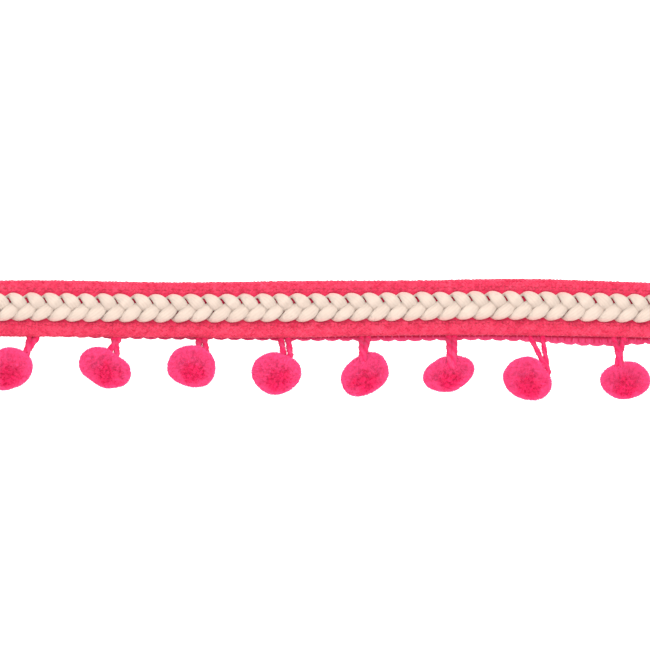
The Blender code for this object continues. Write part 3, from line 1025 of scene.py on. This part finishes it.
def pompom_core(node, settings, seed):
    """The ball under the fibres: the solid, smoothed, drawn in by the pile and softly lumpy."""
    rough = new_object(f"{node}_rough", welded_node(node))
    smooth = rough.modifiers.new("smooth", "SUBSURF")
    smooth.levels = smooth.render_levels = 2
    core = plain_copy(f"{node}_core", rough)
    discard(rough)
    normals = [vert.normal.copy() for vert in core.data.vertices]
    low, high = (Vector(corner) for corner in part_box(node))
    middle = (low + high) / 2
    offset = Vector((seed * 7.3, seed * 3.1, seed))
    pits = []
    for vert, normal in zip(core.data.vertices, normals):
        lumps = noise.noise(vert.co * 330 + offset) * 0.22 + noise.noise(vert.co * 900 + offset) * 0.1
        towards = max(0.0, (vert.co - middle).normalized().dot(PIT_WAY))
        pits.append(limited(2.2 * towards ** 3 - 0.7 + 0.7 * noise.noise(vert.co * 380 + offset)))
        vert.co -= normal * (settings.pile * 0.58 - lumps * MM)
        vert.co.z = max(vert.co.z, 0.25 * MM)
    # The pit marks where the pile parts, which shortens its fibres and takes painted shade there; the core,
    # where it shows between the fibres, takes painted shade as if part way down the pile.
    mark_points(core.data, "pit", pits)
    mark_points(core.data, "tip", [0.4] * len(pits))
    return core


def pile(name, core, fibre, settings, material, seed):
    """Fibres all over a core, leaning in small tufts, kept above the floor, joined with the core."""
    area = sum(face.area for face in core.data.polygons)
    tree = Repeater(f"{name} fibres", {
        "Geometry": None, "Object": fibre, "Material": material,
        "Density": settings.fibres / area, "Length": settings.pile, "Thickness": settings.fibre,
        "Lean": 0.75, "Seed": seed,
    })
    ball, own_seed, thick = (tree.given(title) for title in ("Geometry", "Seed", "Thickness"))
    scatter = {"Mesh": ball, "Density": tree.given("Density"), "Seed": own_seed}
    points = tree.node("GeometryNodeDistributePointsOnFaces", scatter)
    outward = Wire(tree, points.socket.node.outputs["Normal"])
    place = tree.node("GeometryNodeInputPosition")
    tufts = tree.vector("SUBTRACT", tree.clouds(place, TUFT_SCALE, 1.0, output="Color"), (0.5, 0.5, 0.5))
    leaning = {0: tufts, "Scale": tree.given("Lean") * 2.2}
    lean = tree.node("ShaderNodeVectorMath", leaning, operation="SCALE")
    limits = {0: (-STRAY,) * 3, 1: (STRAY,) * 3, "Seed": own_seed + 1}
    stray = tree.node("FunctionNodeRandomValue", limits, data_type="FLOAT_VECTOR")
    aim = tree.vector("ADD", tree.vector("ADD", outward, lean), stray)
    turned = tree.node("FunctionNodeAlignRotationToVector", {"Vector": aim}, axis="Z")
    turn = tree.node("FunctionNodeEulerToRotation", {"Euler": tree.combined(Z=tree.spread(0.0, 6.28, 4))})
    spun = {"Rotation": turned, "Rotate By": turn}
    spin = tree.node("FunctionNodeRotateRotation", spun, rotation_space="LOCAL")
    pores = 1.0 - tree.clouds(place, 1000.0, 2.0, 0.65).between(0.4, 0.5)
    sunk = 1.0 - (tree.named("pit") + 0.1) * pores * 0.5
    long = tree.given("Length") * tree.spread(0.72, 1.12, 2) * sunk
    hairs = tree.realized(tree.instances(points, spin, tree.combined(X=thick, Y=thick, Z=long)))
    lift = PILE_CLEARANCE - tree.node("ShaderNodeSeparateXYZ", {"Vector": place}, "Z")
    raised = {"Geometry": hairs, "Offset": tree.combined(Z=lift.maths("MAXIMUM", lift, 0.0))}
    both = tree.tree.nodes.new("GeometryNodeJoinGeometry")
    for part in (tree.node("GeometryNodeSetPosition", raised), tree.with_material(ball)):
        tree.tree.links.new(part.socket, both.inputs["Geometry"])
    tree.close(Wire(tree, both.outputs["Geometry"]))
    return tree.apply(name, core)


# ---------------- operators


class TRIM_OT_plait(Operator):
    """Plaits the three cream cords that lie along the tape"""

    bl_idname = "trim.plait"
    bl_label = "Plait"

    def execute(self, context):
        settings = context.scene.trim_plait
        material = cord_finish(settings)
        for number in range(STRAND_COUNT):
            rings, marks = strand_rings(number * 2 * pi / STRAND_COUNT, settings)
            name = f"plait_cord_{number + 1}"
            mesh = square_cut(loft(name, rings, marks), number * CUT_STEP)
            piece(name, mesh, material, "cream_cord", f"braid_strand_{number + 1}")
        return {"FINISHED"}


class TRIM_OT_tape(Operator):
    """Makes the knitted tape: its cloth, its knit stitches and the two lines of sewing"""

    bl_idname = "trim.tape"
    bl_label = "Tape"

    def execute(self, context):
        settings = context.scene.trim_tape
        yarn = yarn_finish("pink_tape_yarn", settings.colour, settings.shade)
        cloth = piece("band_cloth", tape_sheet(), yarn, "pink_tape", "band")
        stitch = new_object("knit_stitch", lens_mesh("knit_stitch"))
        knit = stitches("band_knit", knit_rows(settings), stitch, yarn, "pink_tape", 1)
        dark = tuple(0.5 * c for c in settings.shade)
        thread = yarn_finish("dark_sewing_thread", settings.shade, dark)
        sewing = stitches("band_sewing", sewing_rows(settings), stitch, thread, "pink_tape", 2)
        discard(stitch)
        return {"FINISHED"}


class TRIM_OT_heading(Operator):
    """Makes the scalloped heading: its ribbed cloth, the yarn round its edge and its short bars"""

    bl_idname = "trim.heading"
    bl_label = "Heading"

    def execute(self, context):
        settings = context.scene.trim_heading
        yarn = yarn_finish("magenta_heading_yarn", settings.colour, settings.shade)
        cloth = piece("heading_cloth", heading_sheet(settings), yarn, "magenta_heading", "heading")
        edge = piece("heading_loops", heading_loops(settings), yarn, "magenta_heading")
        bar = new_object("bar_stitch", lens_mesh("bar_stitch", sides=8))
        bars = stitches("heading_bars", heading_bars(settings), bar, yarn, "magenta_heading", 5)
        discard(bar)
        reach = [-heading_edge(x) for x in evenly(TRIM_START, TRIM_END, 100)]
        width = max(reach) + HEADING_TOP_EDGE + SCALLOP_DEPTH
        mean = sum(reach) / len(reach) + HEADING_TOP_EDGE
        mean * TRIM_LENGTH
        return {"FINISHED"}


class TRIM_OT_loops(Operator):
    """Twists the two threads of each pompom's loop"""

    bl_idname = "trim.loops"
    bl_label = "Hanging loops"

    def execute(self, context):
        settings = context.scene.trim_pompom
        heading = context.scene.trim_heading
        blend = blended(heading.colour, 0.8, settings.colour, 0.14)
        yarn = yarn_finish("magenta_loop_thread", blend, settings.shade, 0.1)
        for pompom, (lie, width, threads) in enumerate(LOOPS, 1):
            name = f"hanging_loop_{pompom}"
            radius = width * settings.thread / 2
            meshes = []
            for k, places in enumerate(threads):
                path = thread_path(f"pompom_{pompom}", lie, places, radius)
                meshes.append(twisted_thread(name, path, radius, PLY_LEAD * k))
            piece(name, joined(name, meshes), yarn, "magenta_heading")
        return {"FINISHED"}


class TRIM_OT_pompoms(Operator):
    """Makes the felted pompoms, each a ball of short fibres on its solid's shape"""

    bl_idname = "trim.pompoms"
    bl_label = "Pompoms"

    def execute(self, context):
        settings = context.scene.trim_pompom
        material = pompom_finish(settings)
        fibre = fibre_object()
        for number in range(1, len(LOOPS) + 1):
            node = f"pompom_{number}"
            core = pompom_core(node, settings, number)
            ball = pile(f"pompom_pile_{number}", core, fibre, settings, material, number)
            fit_to_root(ball, "magenta_yarn", node)
        discard(fibre)
        return {"FINISHED"}


class TRIM_OT_stage(Operator):
    """Sets the floor, the soft lights and the camera straight above the trim"""

    bl_idname = "trim.stage"
    bl_label = "Stage"

    def execute(self, context):
        settings = context.scene.trim_stage
        scene = context.scene
        bpy.ops.mesh.primitive_grid_add(x_subdivisions=2, y_subdivisions=2, size=6.0)
        floor = context.object
        floor.name = "floor"
        floor.data.materials.append(floor_finish())

        world = bpy.data.worlds.new("soft_studio")
        scene.world = world
        world.use_nodes = True
        background = world.node_tree.nodes["Background"]
        background.inputs["Color"].default_value = (1.0, 1.0, 1.0, 1)
        background.inputs["Strength"].default_value = WORLD_STRENGTH
        for name, at, size, power in LAMPS:
            data = bpy.data.lights.new(name, "AREA")
            data.shape = "DISK"
            data.size = size
            data.energy = power
            lamp = linked(name, data)
            lamp.location = at
            lamp.rotation_euler = (-Vector(at)).to_track_quat("-Z", "Y").to_euler()

        camera = bpy.data.cameras.new("camera")
        camera.lens = camera.sensor_width * settings.camera_height / settings.view_width
        camera.clip_start = 0.01
        viewer = linked("camera", camera)
        viewer.location = (0.0, settings.view_centre, settings.camera_height)
        scene.camera = viewer
        scene.view_settings.view_transform = "Standard"
        return {"FINISHED"}


class TRIM_PT_panel(Panel):
    """Lists the trim's pieces and their settings"""

    bl_label = "Pompom fringe trim"
    bl_space_type = "VIEW_3D"
    bl_region_type = "UI"
    bl_category = "Trim"

    def draw(self, context):
        for name in GROUPS:
            box = self.layout.box()
            settings = getattr(context.scene, name)
            for key in settings.__annotations__:
                box.prop(settings, key)
        for step in STEPS:
            self.layout.operator(step.bl_idname)


GROUPS = {
    "trim_tape": TapeSettings,
    "trim_heading": HeadingSettings,
    "trim_plait": PlaitSettings,
    "trim_pompom": PompomSettings,
    "trim_stage": StageSettings,
}
STEPS = (TRIM_OT_plait, TRIM_OT_tape, TRIM_OT_loops, TRIM_OT_pompoms, TRIM_OT_heading, TRIM_OT_stage)
CLASSES = (*GROUPS.values(), *STEPS, TRIM_PT_panel)


def register():
    for kind in CLASSES:
        bpy.utils.register_class(kind)
    for name, group in GROUPS.items():
        setattr(bpy.types.Scene, name, PointerProperty(type=group))


def unregister():
    for name in GROUPS:
        delattr(bpy.types.Scene, name)
    for kind in reversed(CLASSES):
        bpy.utils.unregister_class(kind)


def main():
    register()
    bpy.ops.trim.plait()
    bpy.ops.trim.tape()
    bpy.ops.trim.loops()
    bpy.ops.trim.pompoms()
    bpy.ops.trim.heading()
    bpy.ops.trim.stage()


if __name__ == "__main__":
    main()
